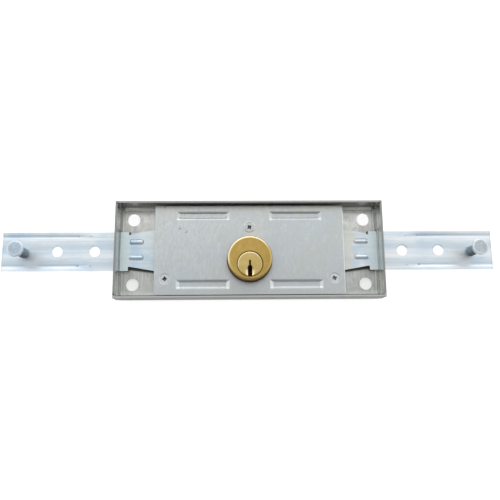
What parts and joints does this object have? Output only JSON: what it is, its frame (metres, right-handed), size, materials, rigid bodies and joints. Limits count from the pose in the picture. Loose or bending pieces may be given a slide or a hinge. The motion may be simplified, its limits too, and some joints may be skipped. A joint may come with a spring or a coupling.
{
  "type": "roller shutter lock",
  "caption": "Roller shutter lock: a shallow open steel case with a screwed cover, a brass key cylinder, and sliding arms with headed pins that draw in at each end when the key turns.",
  "frame": {"origin": "centre of the back face of the case, in the plane that rests on the shutter slat", "axes": "+X along the slides to the right, +Y up across the lock, +Z out of the open front, towards the key"},
  "size_m": [0.29, 0.0564, 0.0185],
  "materials": {
    "case_steel": "galvanised, satin",
    "cover_steel": "fine vertical grain, satin",
    "slide_zinc": "bright zinc plate, faintly iridescent",
    "pin_steel": "turned, zinc plated",
    "screw_steel": "zinc plated",
    "inner_steel": "plain cold rolled",
    "gear_steel": "sintered, matt",
    "body_brass": "turned, satin",
    "plug_brass": "turned, satin",
    "pin_brass": "bright turned",
    "spring_steel": "drawn wire"
  },
  "bodies": {
    "case": {"lock_case": "case_steel", "cover_plate": "cover_steel", "cover_screws": "screw_steel", "cover_posts": "inner_steel", "guide_studs": "inner_steel", "gear_axle": "inner_steel", "cylinder_bridge": "inner_steel", "bridge_rivets": "inner_steel", "cylinder_body": "body_brass", "chamber_strip": "body_brass", "cylinder_screws": "screw_steel", "driver_pins": "pin_brass", "pin_springs": "spring_steel"},
    "plug": {"plug": "plug_brass", "key_pins": "pin_brass", "plug_clip": "spring_steel", "drive_pinion": "gear_steel"},
    "gear": {"reduction_gear": "gear_steel"},
    "left_bolt": {"left_slide": "slide_zinc", "left_hook_pin": "pin_steel"},
    "right_bolt": {"right_slide": "slide_zinc", "right_hook_pin": "pin_steel"}
  },
  "joints": [
    {"name": "key_turn", "type": "hinge", "parent": "case", "child": "plug", "pos_m": [0, -0.0095, 0.0175], "axis": [0, 0, 1], "range_deg": [0, 360]},
    {"name": "gear_turn", "type": "hinge", "parent": "case", "child": "gear", "pos_m": [0, 0.0004, 0.005], "axis": [0, 0, -1], "range_deg": [0, 180]},
    {"name": "left_bolt_slide", "type": "slide", "parent": "case", "child": "left_bolt", "axis": [1, 0, 0], "range_m": [0, 0.01571]},
    {"name": "right_bolt_slide", "type": "slide", "parent": "case", "child": "right_bolt", "axis": [-1, 0, 0], "range_m": [0, 0.01571]}
  ],
  "couplings": [
    {"joint": "key_turn", "follows": "left_bolt_slide", "rad_per_m": 400},
    {"joint": "gear_turn", "follows": "left_bolt_slide", "rad_per_m": 200},
    {"joint": "right_bolt_slide", "follows": "left_bolt_slide", "ratio": 1}
  ]
}
